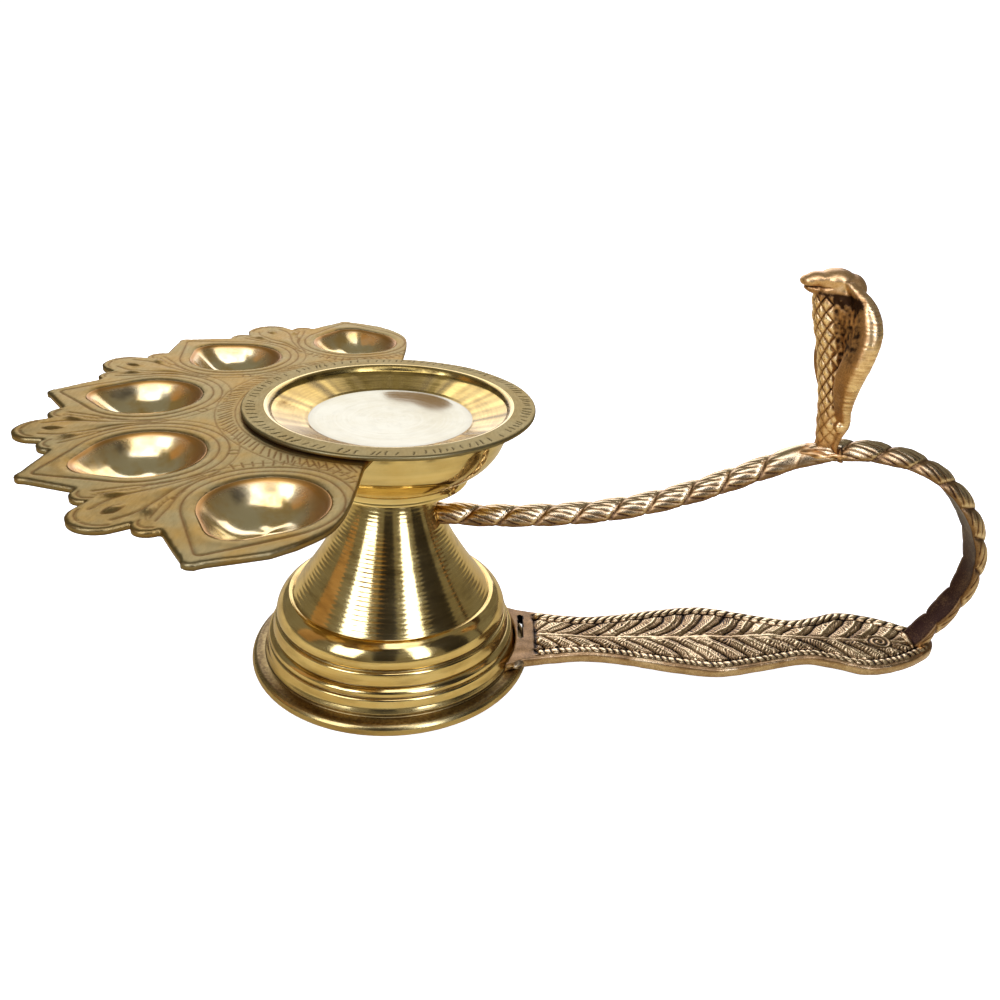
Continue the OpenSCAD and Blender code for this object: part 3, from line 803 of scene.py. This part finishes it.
def grip_relief(x, y, half):
    """Height and wear of the grip bar's carved face: cord borders round feathered leaves."""
    inset = half - np.abs(y)
    carved = smoothstep(37.2, 39.0, x) * smoothstep(142.5, 139.5, x)
    front = y < 0
    place = np.column_stack([x, y, y * 0])
    stray = wobble(place, 0.34, 11) + 0.5 * wobble(place, 0.8, 13)
    coarse = wobble(place, 0.13, 12)
    # cord borders, cut by slanted notches
    pitch = np.where(front, 1.75, 2.25)
    lean = np.where(front, 0.35, 0.9)
    f = np.mod((x + lean * inset + 0.5 * stray) / pitch, 1.0)
    notch = np.exp(-((f - 0.5) / 0.16) ** 2)
    cord_at, cord_w = np.where(front, 2.2, 1.8), np.where(front, 1.0, 1.2)
    cord = np.exp(-((inset - cord_at) / cord_w) ** 4)
    valley = np.exp(-((inset - cord_at - cord_w - 0.45) / 0.4) ** 2)
    height = 0.32 * cord * (1 - 0.95 * notch) - 0.3 * valley
    wear_and_painted_shade = 0.58 + 0.36 * cord * (1 - notch) - 0.62 * cord * notch - 0.34 * valley
    # feathered leaves on both sides of a wandering spine
    field = smoothstep(cord_at + cord_w + 0.2, cord_at + cord_w + 0.9, inset)
    spine = 0.9 * np.sin(x / 13.0) + 0.5 * coarse
    side = np.where(y > spine, 0.5, 0.0)
    d = np.abs(y - spine) + 0.35 * stray
    lobe = np.mod((x - 1.35 * d + 0.045 * d * d + 1.2 * coarse) / 5.6 + side, 1.0)
    leaf = np.sin(math.pi * lobe) ** 0.55 * smoothstep(0.2, 1.2, d)
    hatch = 0.5 + 0.5 * np.sin(2 * math.pi * (x * 0.72 + (0.9 + 0.6 * lobe) * d + 0.9 * stray) / 0.95)
    vein = np.exp(-(d / 0.38) ** 2)
    rib = np.exp(-((lobe - 0.55) / 0.06) ** 2) * smoothstep(0.8, 2.0, d)
    gap = (np.exp(-(lobe / 0.05) ** 2) + np.exp(-((1 - lobe) / 0.05) ** 2)) * smoothstep(0.3, 0.9, d)
    cut = hatch * leaf * (1 - rib)
    height += field * (0.30 * leaf + 0.22 * vein + 0.12 * rib - 0.20 * cut - 0.26 * gap - 0.12)
    wear_and_painted_shade += field * (0.34 * leaf * (1 - hatch) + 0.26 * vein + 0.2 * rib - 0.34 * cut - 0.42 * gap)
    # a small coiled flower near the round end
    ring_d = np.hypot(x - 129.5, y + 1.2)
    shell = smoothstep(3.4, 2.8, ring_d)
    spiral = 0.5 + 0.5 * np.cos(2 * math.pi * (ring_d / 1.3 - np.arctan2(y + 1.2, x - 129.5)
                                               / (2 * math.pi)))
    height = height * (1 - shell) + shell * (0.25 * spiral - 0.1)
    wear_and_painted_shade = wear_and_painted_shade * (1 - shell) + shell * (0.3 + 0.45 * spiral)
    ditch = np.exp(-((x - 38.2) / 0.45) ** 2) * smoothstep(1.2, 2.4, inset)
    height = height * carved - 0.4 * ditch
    wear_and_painted_shade = 0.48 + 1.4 * (wear_and_painted_shade - 0.55) + 0.25 * coarse + 0.15 * stray
    wear_and_painted_shade = wear_and_painted_shade * carved + 0.36 * (1 - carved) - 0.4 * ditch
    height *= 1.3
    return height, np.clip(wear_and_painted_shade, 0, 1)


def make_grip(mats):
    xs = np.concatenate([np.arange(32.9, 38, 0.42), np.arange(38, 143.2, 0.27),
                         np.linspace(143.25, 143.8, 4)])
    across = 88
    v = 0.35 * np.sin(np.linspace(-math.pi / 2, math.pi / 2, across))
    v = v + np.linspace(-1, 1, across) * 0.65
    verts, wear_and_painted_shade = [], []
    for x in xs:
        half = float(np.interp(x, GRIP_HALF[:, 0], GRIP_HALF[:, 1]))
        y = v * half
        bend = smoothstep(40, 33, x)
        px = x + (np.sqrt(np.maximum(ROOT_R ** 2 - y ** 2, 0)) - ROOT_R) * bend
        h, w = grip_relief(np.full(across, x), y, half)
        edge = np.abs(v) > 0.999
        h = np.where(edge, -0.3, h)
        top = grip_top(px)
        lip = np.array([[px[-1], y[-1] + 0.12, top[-1] - 1.0], [px[-1], y[-1] + 0.05, top[-1] - 2.2],
                        [px[-1], y[-1] - 0.5, top[-1] - GRIP_T]])
        low = np.array([[px[k], y[k], top[k] - GRIP_T] for k in range(across - 12, 8, -10)])
        lip2 = lip[::-1].copy()
        lip2[:, 1] *= -1
        lip2[:, 0] = px[0]
        lip2[:, 2] = [top[0] - GRIP_T, top[0] - 2.2, top[0] - 1.0]
        verts.append(np.vstack([np.column_stack([px, y, top + h]), lip, low, lip2]))
        wear_and_painted_shade.append(np.concatenate([w, [0.62, 0.6, 0.4], np.full(len(low), 0.4), [0.4, 0.6, 0.62]]))
    faces = bar_faces(len(verts), len(verts[0]))
    verts, wear_and_painted_shade = np.vstack(verts), np.concatenate(wear_and_painted_shade)
    verts[:, 2] += 0.12 * wobble(verts, 0.35, 4)
    cut_slot(new_piece("carved_grip", verts, faces, mats["grip"], "foot",
                       ["grip_bar"], {"wear_and_painted_shade": wear_and_painted_shade}))


SLOT_AT, SLOT_SIZE, SLOT_ROUND = (0.0342, 0.0036, 0.006), (0.0013, 0.011, 0.012), 0.0004  # metres


def cut_slot(piece):
    """The narrow slot through the plain collar."""
    bm = bmesh.new()
    bmesh.ops.create_cube(bm, size=1.0, matrix=Matrix.Translation(SLOT_AT)
                          @ Matrix.Diagonal((*SLOT_SIZE, 1)))
    upright = [e for e in bm.edges if abs(e.verts[0].co.z - e.verts[1].co.z) > 0.005]
    bmesh.ops.bevel(bm, geom=upright, offset=SLOT_ROUND, segments=3, affect="EDGES")
    cutter = link("slot_cutter", mesh_of(bm, "slot_cutter"))
    cut = piece.modifiers.new("slot", "BOOLEAN")
    cut.object, cut.operation, cut.solver = cutter, "DIFFERENCE", "EXACT"
    bake(piece)
    bpy.data.objects.remove(cutter)


# ---- rope bar -----------------------------------------------------------------------

ROPE_PATH = [[12.4, 40.1], [24, 39.8], [40, 40.8], [56, 43.2], [72, 47.9], [88, 54.8], [98, 59.2],
             [108, 61.4], [118, 60.9], [128, 58.2], [137.2, 52], [143.8, 43.6], [147, 34.5],
             [146.4, 26], [142.8, 18], [137.8, 9.6]]
ROPE_W, ROPE_T, LAY = 7.6, 4.2, 9.2


def make_rope(mats):
    path, s = resample(spline(ROPE_PATH, 10), 0.42)
    way = np.gradient(path, axis=0)
    way /= np.linalg.norm(way, axis=1)[:, None]
    out = np.stack([-way[:, 1], way[:, 0]], 1)
    around, flat = 54, 10  # points round the strand and along its flat inside
    theta = np.linspace(0, math.pi, around)
    rows = len(path)
    smooth_lay = bell(path[:, 0], 97.5, 4.0) * (path[:, 1] > 50)
    verts, wear_and_painted_shade = [], []
    for i in range(rows):
        y0 = ROPE_W / 2 * np.cos(theta)
        phase = (s[i] + 0.62 * ROPE_W * (theta / math.pi - 0.5) * 2.0) / LAY
        f = np.mod(phase, 1.0)
        crown = np.sin(theta)
        dome = np.sin(math.pi * f) ** 0.38
        swell = 1 - 0.27 * (1 - dome) - 0.06 * np.exp(-((1 - f) / 0.05) ** 2)
        strand = np.mod(theta / math.pi * 9.5 - f * 1.9, 1.0)
        grain = np.abs(np.sin(math.pi * strand))
        cutting = (1 - grain) ** 2.6 * smoothstep(0.03, 0.22, f) * smoothstep(1.0, 0.80, f)
        calm = 1 - smooth_lay[i]
        swell = 1 - (1 - swell) * (0.35 + 0.65 * calm)
        swell = swell - 0.048 * cutting * calm
        y = y0 * swell
        h = ROPE_T * crown * swell
        w = 0.50 + 0.42 * dome * crown - 0.52 * cutting * calm - 0.42 * (1 - dome) ** 1.5 * calm
        w += 0.35 * np.exp(-((f - 0.9) / 0.07) ** 2) * calm
        w = np.where(crown < 0.12, 0.35, 0.5 + 1.25 * (w - 0.55))
        px = path[i, 0] + out[i, 0] * h
        pz = path[i, 1] + out[i, 1] * h
        yb = np.linspace(y[-1], y[0], flat + 2)[1:-1]
        hollow = 0.12 * np.sin(np.linspace(0, math.pi, flat))
        bx = path[i, 0] + out[i, 0] * hollow
        bz = path[i, 1] + out[i, 1] * hollow
        ring = np.vstack([np.column_stack([px, y, pz]), np.column_stack([bx, yb, bz])])
        if i == 0:
            ring[:, 0] = np.sqrt(cone_r(ring[:, 2]) ** 2 - ring[:, 1] ** 2) - 0.25
        if i == rows - 1:
            ring[:, 2] = grip_top(ring[:, 0]) - 0.4
        verts.append(ring)
        # Painted shade: the flat inner face of the strand is set dark (0.13).
        wear_and_painted_shade.append(np.concatenate([w, np.full(flat, 0.13)]))
    verts, wear_and_painted_shade = np.vstack(verts), np.concatenate(wear_and_painted_shade)
    verts += (0.10 * wobble(verts, 0.5, 6))[:, None] * np.array([0.4, 0.4, 1.0])
    new_piece("twisted_rope", verts, bar_faces(rows, around + flat), mats["rope"], "foot",
              ["rope_bar"], {"wear_and_painted_shade": np.clip(wear_and_painted_shade, 0, 1)})


# ---- cobra --------------------------------------------------------------------------

# Height, front of the belly, half width, back
HOOD = spline([[60.6, 98.4, 3.3, 108.2], [62.2, 100.0, 3.0, 107.2], [64.2, 101.4, 3.4, 106],
               [67, 101.2, 3.8, 106.2], [70.5, 100.8, 5.2, 106.9], [75, 100.2, 7.4, 105.8],
               [80, 99.2, 10.2, 105.4], [85, 98, 12.4, 105.8], [89, 96.8, 13, 106.4],
               [93, 95.4, 12.8, 106.8], [97, 94.4, 11.4, 106.2], [100.5, 93.9, 8.8, 104.2],
               [103.2, 94.4, 5, 100.6]], 6)


def hood_ring(z, x, w, b):
    e = min(w * 0.2, 2.4)
    side = [[x, 0.0], [x + 0.15, min(1.4, w * 0.3)], [x + 1.2, min(2.9, w * 0.6)],
            [x + 3.2, min(3.7, w * 0.75)], [x + 4.4, min(4.3, w * 0.78)],
            [b - e * 2.5, w - e * 2.1], [b - e * 2.35, w - e * 1.2], [b - e * 1.9, w - e * 0.3],
            [b - e * 1.2, w], [b - e * 0.45, w - e * 0.3], [b, w - e * 1.2], [b - w * 0.10, w * 0.45],
            [b - w * 0.06, 0.0]]
    side = spline(side, 3)
    loop = np.vstack([side, mirrored(side)[1:-1]])
    return np.column_stack([loop, np.full(len(loop), z)])


# The head as (centre x, height under the top, size in x, y and z, lean in degrees)
HEAD = ((92.3, 3.15, (2.1, 2.3, 1.35), 8), (94.6, 2.75, (3.2, 2.9, 1.75), 8),
        (98.2, 2.55, (4.0, 4.1, 2.45), 0), (101.4, 4.4, (3.4, 5.6, 3.2), -30),
        (103.6, 8.2, (2.4, 7.0, 4.0), -12), (93.3, 4.85, (2.1, 1.9, 0.85), 14),
        (96.3, 5.0, (3.0, 2.6, 1.3), 4))


def vectors(mesh, key):
    """Positions or normals of the mesh's vertices."""
    flat = np.zeros(len(mesh.vertices) * 3)
    mesh.vertices.foreach_get(key, flat)
    return flat.reshape(-1, 3)


def ellipsoid(bm, centre, size, lean):
    m = Matrix.Translation(Vector(centre)) @ Matrix.Rotation(math.radians(lean), 4, "Y")
    bmesh.ops.create_icosphere(bm, subdivisions=4, radius=1.0, matrix=m @ Matrix.Diagonal((*size, 1)))


def make_cobra(mats):
    rings = [hood_ring(*row) for row in HOOD]
    cols, rows = len(rings[0]), len(rings)
    bm = bmesh.new()
    made = [bm.verts.new(p) for p in np.vstack(rings)]
    for face in grid_faces(rows, cols).tolist():
        bm.faces.new([made[i] for i in face])
    bm.faces.new(made[:cols])
    bm.faces.new(made[-cols:][::-1])
    for x, under, size, lean in HEAD:
        ellipsoid(bm, (x, 0, COBRA_TOP - under), size, lean)
    for side in (1, -1):  # eyes, nostrils and the ends of the rolled edges
        ellipsoid(bm, (95.2, 2.35 * side, COBRA_TOP - 2.35), (1.15, 0.75, 0.75), 0)
        ellipsoid(bm, (91.3, 1.15 * side, COBRA_TOP - 2.9), (0.5, 0.45, 0.4), 0)
        ellipsoid(bm, (104.6, 4.4 * side, 70.2), (1.5, 1.0, 1.5), 0)
    bmesh.ops.recalc_face_normals(bm, faces=bm.faces)
    rough = link("cobra_rough", mesh_of(bm, "cobra_rough"))
    knit = rough.modifiers.new("knit", "REMESH")
    knit.mode, knit.voxel_size = "VOXEL", 0.24
    soft = rough.modifiers.new("soft", "SMOOTH")
    soft.factor, soft.iterations = 0.5, 6
    bake(rough)
    co, normal = vectors(rough.data, "co"), vectors(rough.data, "normal")
    faces = [list(p.vertices) for p in rough.data.polygons]
    bpy.data.objects.remove(rough)
    push, wear_and_painted_shade = cobra_relief(co, normal)
    new_piece("cast_cobra", co + normal * push[:, None], faces, mats["cobra"], "foot",
              ["cobra"], {"wear_and_painted_shade": wear_and_painted_shade})


def cobra_relief(co, normal):
    """Scales on the belly, file marks on the rolled edges and a rough recess between them."""
    x, y, z = co.T
    front, wide, back = (np.interp(z, HOOD[:, 0], HOOD[:, k]) for k in (1, 2, 3))
    depth = x - front
    belly = smoothstep(4.4, 3.4, np.abs(y)) * smoothstep(3.6, 2.8, depth)
    belly *= smoothstep(63.5, 66.5, z) * smoothstep(100.4, 99.2, z)
    girth = np.sign(y) * (np.abs(y) * 0.9 + np.maximum(depth, 0) * 0.55)
    a, b = girth / 2.5 + z / 3.5, girth / 2.5 - z / 3.5
    scale = np.minimum(np.abs(np.sin(math.pi * a)), np.abs(np.sin(math.pi * b)))
    strong = smoothstep(70, 78, z)
    push = belly * (0.62 * np.sqrt(scale) - 0.34) * (0.45 + 0.55 * strong)
    wear_and_painted_shade = 0.42 + belly * (0.52 * scale ** 0.7 - 0.30 * (scale < 0.22)) * (0.5 + 0.5 * strong)
    rim = smoothstep(2.9, 1.9, wide - np.abs(y)) * smoothstep(66, 70, z) * smoothstep(104, 101, z)
    lines = wobble(np.column_stack([x * 0.25, y * 0.25, z * 2.6]), 1.0, 3)
    push += rim * 0.09 * lines
    outer = rim * smoothstep(-0.4, 0.2, normal[:, 0] + 0.6 * np.abs(normal[:, 1]))
    wear_and_painted_shade = wear_and_painted_shade + outer * (0.32 + 0.35 * lines)
    recess = smoothstep(2.6, 3.6, depth) * smoothstep(back - 1.6, back - 3.0, x)
    recess *= smoothstep(2.4, 3.2, np.abs(y)) * smoothstep(1.2, 2.4, wide - np.abs(y))
    recess *= smoothstep(101.5, 99, z) * (normal[:, 0] < 0.3)
    rough = wobble(co, 1.1, 9)
    push += recess * 0.16 * rough
    wear_and_painted_shade = wear_and_painted_shade - recess * (0.16 - 0.4 * rough)
    head = smoothstep(100.6, 101.6, z)
    wear_and_painted_shade = wear_and_painted_shade * (1 - head) + head * 0.62
    t = COBRA_TOP
    mouth = bell(z, t - 4.25 + (x - 92) * 0.06, 0.16) * smoothstep(97.2, 95.5, x) * (x < 98)
    push -= 0.32 * mouth
    wear_and_painted_shade -= 0.55 * mouth
    # Painted shade under the head: a darker band on the body just below the jaw.
    painted_shade_under_head = smoothstep(t - 4.6, t - 5.6, z) * smoothstep(t - 8.0, t - 6.2, z) * (x > front + 0.2)
    wear_and_painted_shade -= 0.35 * painted_shade_under_head * (x < 102)
    push += 0.05 * wobble(co, 0.5, 5)
    return push, np.clip(wear_and_painted_shade, 0, 1)


# ---- brazed seams -------------------------------------------------------------------


def blob(name, seed, nodes, material, *lumps):
    """A melted bead of metal on the foot: lumpy ellipsoids of (centre, size, turn in degrees)."""
    verts, faces, start = [], [], 0
    for c, s, turn in lumps:
        bm = bmesh.new()
        bmesh.ops.create_icosphere(bm, subdivisions=4, radius=1.0)
        p = np.array([v.co[:] for v in bm.verts])
        faces += [[v.index + start for v in face.verts] for face in bm.faces]
        start += len(p)
        bm.free()
        p = p * (1 + 0.16 * wobble(p, 1.7, seed))[:, None] * np.array(s)
        q = math.radians(turn)
        p[:, :2] = p[:, :2] @ np.array([[math.cos(q), math.sin(q)], [-math.sin(q), math.cos(q)]])
        verts.append(p + np.array(c))
        seed += 1
    verts = np.vstack(verts)
    wear_and_painted_shade = np.clip(0.55 + 0.6 * wobble(verts, 0.9, seed), 0, 1)
    new_piece(name, verts, faces, material, "foot", nodes, {"wear_and_painted_shade": wear_and_painted_shade})


def make_seams(mats):
    blob("seam_neck", 1, ["neck_braze"], mats["filler"], ((12.0, 0, 39.7), (0.8, 3.3, 0.75), 0))
    blob("seam_root", 4, ["foot_braze"], mats["filler"],
         ((33.6, -11.2, 5.0), (1.3, 2.5, 1.25), -32), ((32.6, 0, 3.6), (0.5, 9.4, 0.5), 0))
    blob("seam_loop", 7, ["loop_braze"], mats["rope"], ((137.4, 0, 9.5), (0.8, 3.7, 0.75), 0))
    low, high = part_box("cobra_braze")
    blob("seam_cobra", 11, ["cobra_braze"], mats["cobra"],
         (((low.x + high.x) / 2 / MM, 0, (low.z + high.z) / 2 / MM),
          ((high.x - low.x) / 2 / MM, (high.y - low.y) / 2 / MM, 1.1), 0),
         ((102.4, 0, 62.4), (5.6, 3.7, 1.5), 0), ((106.2, -3.3, 62.6), (2.4, 0.6, 0.55), 0),
         ((106.6, -3.1, 62.9), (0.6, 0.7, 1.7), 0))
    t = np.radians(np.linspace(101, 259, 120))
    inner = 28.15
    ring = [[inner, -1.25], [inner, -1.75], [28.5, -1.75], [29.1, -1.55], [29.7, -1.2]]
    rows = []
    for a in t:
        lump = 1 + 0.12 * math.sin(a * 31) + 0.08 * math.sin(a * 53)
        rows.append([[(inner + (r - inner) * lump) * math.cos(a),
                      (inner + (r - inner) * lump) * math.sin(a), PLATE_Z + h] for r, h in ring])
    verts = np.array(rows).reshape(-1, 3)
    faces = grid_faces(len(rows), len(ring)).tolist()
    faces += [list(range(len(ring))), [len(verts) - 1 - i for i in range(len(ring))]]
    new_piece("seam_fan", verts, faces, mats["filler"], "head", ["fan_braze"],
              {"wear_and_painted_shade": np.full(len(verts), 0.4)})


# ---- stage --------------------------------------------------------------------------


MIDDLE = Vector((0.02, 0, 0.05))  # where the lights and cards point, in metres


def place(obj, azimuth, elevation, distance):
    """Puts it at that azimuth (0 = +X, 90 = +Y) and elevation in degrees, facing the lamp."""
    a, e = math.radians(azimuth), math.radians(elevation)
    way = Vector((math.cos(e) * math.cos(a), math.cos(e) * math.sin(a), math.sin(e)))
    obj.location = way * distance + MIDDLE
    obj.rotation_euler = (MIDDLE - obj.location).to_track_quat("-Z", "Y").to_euler()


def softbox(name, azimuth, elevation, width, height, radiance, colour):
    """Area light of that size in metres. Radiance is what a mirror would show."""
    data = bpy.data.lights.new(name, "AREA")
    data.shape, data.size, data.size_y = "RECTANGLE", width, height
    data.energy = 4 * width * height * radiance
    data.color = colour
    lamp = link(name, data)
    place(lamp, azimuth, elevation, 1.0)
    lamp.visible_camera = False


def card(name, azimuth, elevation, width, height, material, distance=0.9, lobes=0):
    """A dull studio card that only shows as a reflection: a rectangle, or a disc with lobes."""
    bm = bmesh.new()
    if lobes:
        bmesh.ops.create_circle(bm, cap_ends=True, segments=48, radius=0.5)
        for vert in bm.verts:
            vert.co *= 0.85 + 0.2 * math.sin(lobes * math.atan2(vert.co.y, vert.co.x) + 1.6)
    else:
        bmesh.ops.create_grid(bm, x_segments=4, y_segments=4, size=0.5)
    flag = link(name, mesh_of(bm, name, material))
    flag.scale = (width, height, 1)
    place(flag, azimuth, elevation, distance)
    flag.visible_camera = flag.visible_diffuse = flag.visible_shadow = False


def plane(name, size, height, material):
    """A wide flat stage plane."""
    bm = bmesh.new()
    bmesh.ops.create_grid(bm, x_segments=8, y_segments=8, size=size)
    flat = link(name, mesh_of(bm, name, material))
    flat.location.z = height
    return flat


def glow(shader, strength):
    shader.inputs["Emission Color"].default_value = (1, 1, 1, 1)
    shader.inputs["Emission Strength"].default_value = strength


FLOOR_HALF, WALL_R, WALL_H = 9.5, 9, 16  # metres


def make_stage():
    n = Nodes("pale_floor")
    grain = n.noise(n.scaled(0.02, 0.02, 0.02), detail=2.0)
    n.finish(n.ramp(grain, (0.3, (0.93, 0.93, 0.93)), (0.7, (0.96, 0.96, 0.96))), 0.8, metal=0.0)
    glow(n.bsdf, 0.92)
    floor = plane("floor", FLOOR_HALF, -0.0003, n.mat)
    floor.visible_glossy = False
    table = Nodes("table_top")
    table.finish((0.78, 0.66, 0.40, 1), 0.9, metal=0.0)
    under = plane("table_reflection", FLOOR_HALF, -0.0001, table.mat)
    under.visible_camera = under.visible_diffuse = under.visible_shadow = False
    wall = Nodes("pale_wall")
    wall.finish((0, 0, 0, 1), 1.0, metal=0.0)
    glow(wall.bsdf, 1.05)
    bm = bmesh.new()
    bmesh.ops.create_cone(bm, segments=96, radius1=WALL_R, radius2=WALL_R, depth=WALL_H)
    back = link("wall", mesh_of(bm, "wall", wall.mat))
    back.visible_glossy = back.visible_diffuse = back.visible_shadow = False
    world = bpy.data.worlds.new("studio")
    world.use_nodes = True
    sky = world.node_tree.nodes["Background"]
    sky.inputs["Color"].default_value = (1, 0.95, 0.82, 1)
    sky.inputs["Strength"].default_value = 0.22
    bpy.context.scene.world = world
    dark = Nodes("dark_card")
    dark.finish((0.015, 0.012, 0.010, 1), 1.0, metal=0.0)
    warm = Nodes("warm_card")
    warm.finish((0.30, 0.18, 0.08, 1), 1.0, metal=0.0)
    day = (0.84, 0.95, 1.30)
    softbox("back_light", 94, 24, 1.15, 0.74, 1.35, (0.97, 0.98, 1.14))
    softbox("key_light", -57, 32, 0.26, 0.85, 5.0, day)
    softbox("left_light", -130, 32, 0.42, 0.85, 4.0, day)
    softbox("top_light", -90, 70, 0.75, 0.42, 1.9, (0.95, 0.98, 1.2))
    card("card_front", -92, 30, 0.34, 0.8, dark.mat)
    card("card_right", -22, 30, 0.45, 1.0, dark.mat)
    card("card_left", -172, 28, 0.30, 0.8, warm.mat)
    card("card_blob", 96.6, 25.4, 0.046, 0.050, warm.mat, 0.6, lobes=3)


CAMERA_AT = (0.0225, -0.1951, 0.1389)
CAMERA_TURN = (64.385, -2.787, 0.085)  # degrees about X, Y and Z
LENS = 31.53  # millimetres on a 36 mm sensor


def make_camera():
    data = bpy.data.cameras.new("camera")
    data.lens, data.sensor_width, data.sensor_fit = LENS, 36.0, "HORIZONTAL"
    data.clip_start, data.clip_end = 0.005, 100.0
    eye = link("camera", data)
    eye.location = CAMERA_AT
    eye.rotation_euler = [math.radians(v) for v in CAMERA_TURN]
    bpy.context.scene.camera = eye


# ---- build --------------------------------------------------------------------------

make_camera()
MATS = make_materials()
for make in (make_foot, make_bowl, make_plate, make_cups, make_grip, make_rope, make_cobra,
             make_seams):
    make(MATS)
for node_name, key in (("threaded_stud", "turned"), ("hex_nut", "turned"),
                       ("spring_washer", "steel")):
    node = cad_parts[node_name]
    node.data.materials.clear()
    node.data.materials.append(MATS[key])
make_stage()
bpy.context.scene.view_settings.view_transform = "Standard"

bpy.context.view_layer.update()
